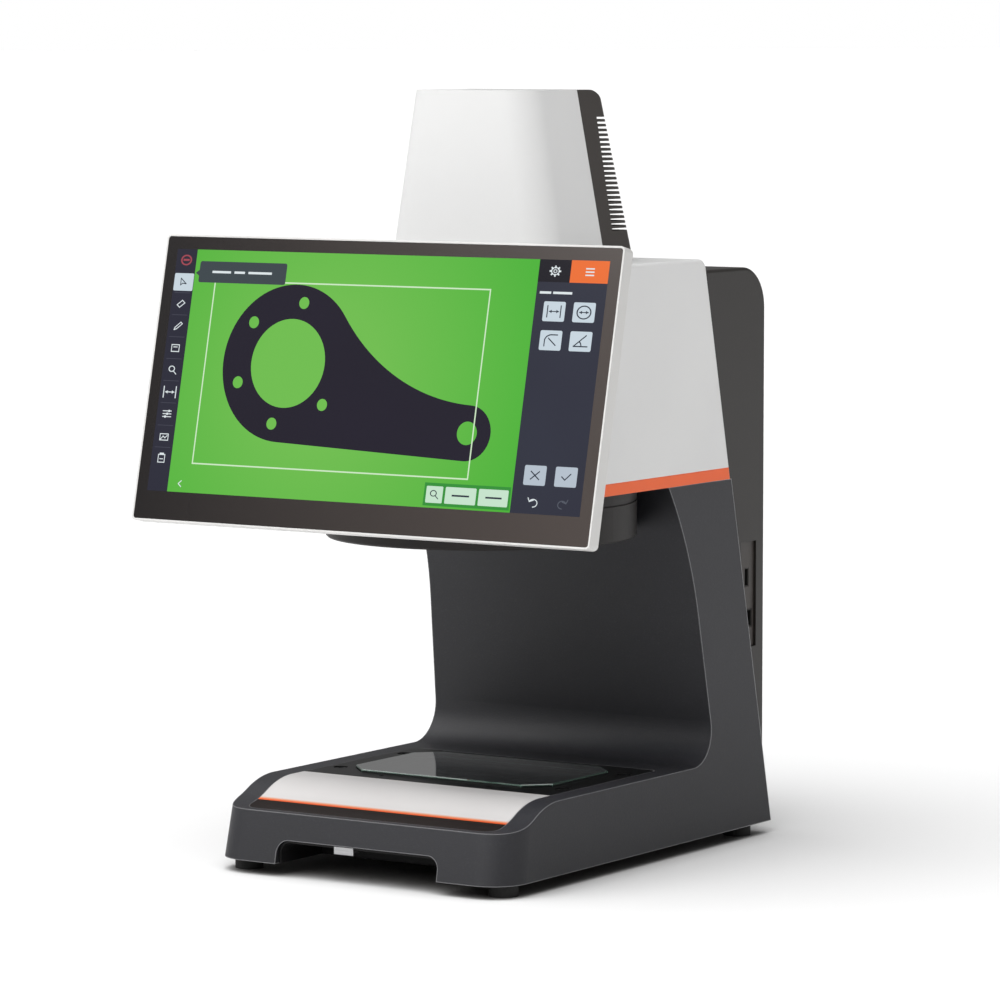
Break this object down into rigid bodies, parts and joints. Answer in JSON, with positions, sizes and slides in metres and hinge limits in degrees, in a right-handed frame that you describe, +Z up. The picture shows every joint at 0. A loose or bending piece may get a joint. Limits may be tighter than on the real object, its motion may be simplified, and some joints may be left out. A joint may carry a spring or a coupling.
{
  "type": "vision measuring machine",
  "caption": "Desktop vision measuring machine: cast C-frame, backlit glass stage, telecentric lens drum, tilting display, camera tower and rear power housing.",
  "frame": {"origin": "centre of the bounding box's footprint, on the surface under the rubber feet", "axes": "+Z up, +Y to the rear of the machine, +X to the right of someone who faces its display"},
  "size_m": [0.378, 0.3796, 0.54],
  "materials": {
    "frame_paint": "dark grey fine-textured paint",
    "cover_light": "satin light grey",
    "cover_dark": "satin near-black",
    "housing_paint": "satin near-black paint",
    "orange_trim": "satin orange",
    "panel_light": "satin light grey",
    "panel_dark": "satin near-black",
    "stage_metal": "black anodised",
    "stage_glass": "clear, polished",
    "lens_glass": "coated optical glass",
    "rubber": "matte",
    "steel": "zinc plated",
    "black_screw": "blackened steel",
    "sheet": "zinc-plated sheet",
    "plate_metal": "machined",
    "optic_metal": "black anodised",
    "inner_plastic": "matte black",
    "diffuser": "opal",
    "board": "green solder mask",
    "led": "clear resin",
    "sensor": "coated",
    "display_glass": "black-backed cover glass",
    "display_silver": "silver paint",
    "supply_case": "plain sheet"
  },
  "bodies": {
    "machine": {"base_frame": "frame_paint", "front_panel": "panel_light", "front_stripe": "orange_trim", "front_strip": "panel_dark", "stage_frame": "stage_metal", "stage_glass": "stage_glass", "stage_screws": "black_screw", "rubber_feet": "rubber", "foot_screws": "steel", "bottom_plate": "sheet", "bottom_screws": "steel", "grip_pan": "sheet", "pan_clip": "steel", "backlight_tray": "inner_plastic", "backlight_diffuser": "diffuser", "backlight_board": "board", "backlight_leds": "led", "head_band": "orange_trim", "head_cover": "cover_light", "head_plate": "plate_metal", "tower_front_cover": "cover_light", "tower_back_cover": "cover_dark", "rear_housing": "housing_paint", "housing_posts": "steel", "housing_screws": "black_screw", "port_panel": "cover_dark", "port_sockets": "steel", "power_inlet": "inner_plastic", "inlet_pins": "steel", "switch_frame": "inner_plastic", "supply_bracket": "plate_metal", "power_supply": "supply_case", "board_posts": "steel", "controller_board": "board", "heat_sink": "plate_metal", "lens_drum": "optic_metal", "objective_lens": "lens_glass", "lens_retainer": "optic_metal", "ring_board": "board", "ring_leds": "led", "ring_diffuser": "diffuser", "lens_barrel": "optic_metal", "aperture_stop": "optic_metal", "camera_body": "optic_metal", "image_sensor": "sensor", "barrel_screws": "steel", "fan_bracket": "plate_metal", "fan_frame": "inner_plastic", "arm_post": "plate_metal", "display_arm": "optic_metal", "hinge_pin": "steel"},
    "display": {"display_glass": "display_glass", "display_case": "display_silver", "lcd_panel": "inner_plastic", "display_board": "board", "display_back": "cover_dark", "display_mount": "optic_metal", "mount_screws": "steel"},
    "power_rocker": {"power_rocker": "inner_plastic"},
    "fan_rotor": {"fan_rotor": "inner_plastic"}
  },
  "joints": [
    {"name": "display_tilt", "type": "hinge", "parent": "machine", "child": "display", "pos_m": [0, -0.13711, 0.33893], "axis": [1, 0, 0], "range_deg": [-8, 12]},
    {"name": "power_switch_rock", "type": "hinge", "parent": "machine", "child": "power_rocker", "pos_m": [-0.026, 0.18062, 0.084], "axis": [1, 0, 0], "range_deg": [-18, 0]},
    {"name": "fan_spin", "type": "hinge", "parent": "machine", "child": "fan_rotor", "pos_m": [0, 0.02062, 0.4677], "axis": [0, 1, 0], "continuous": true}
  ]
}
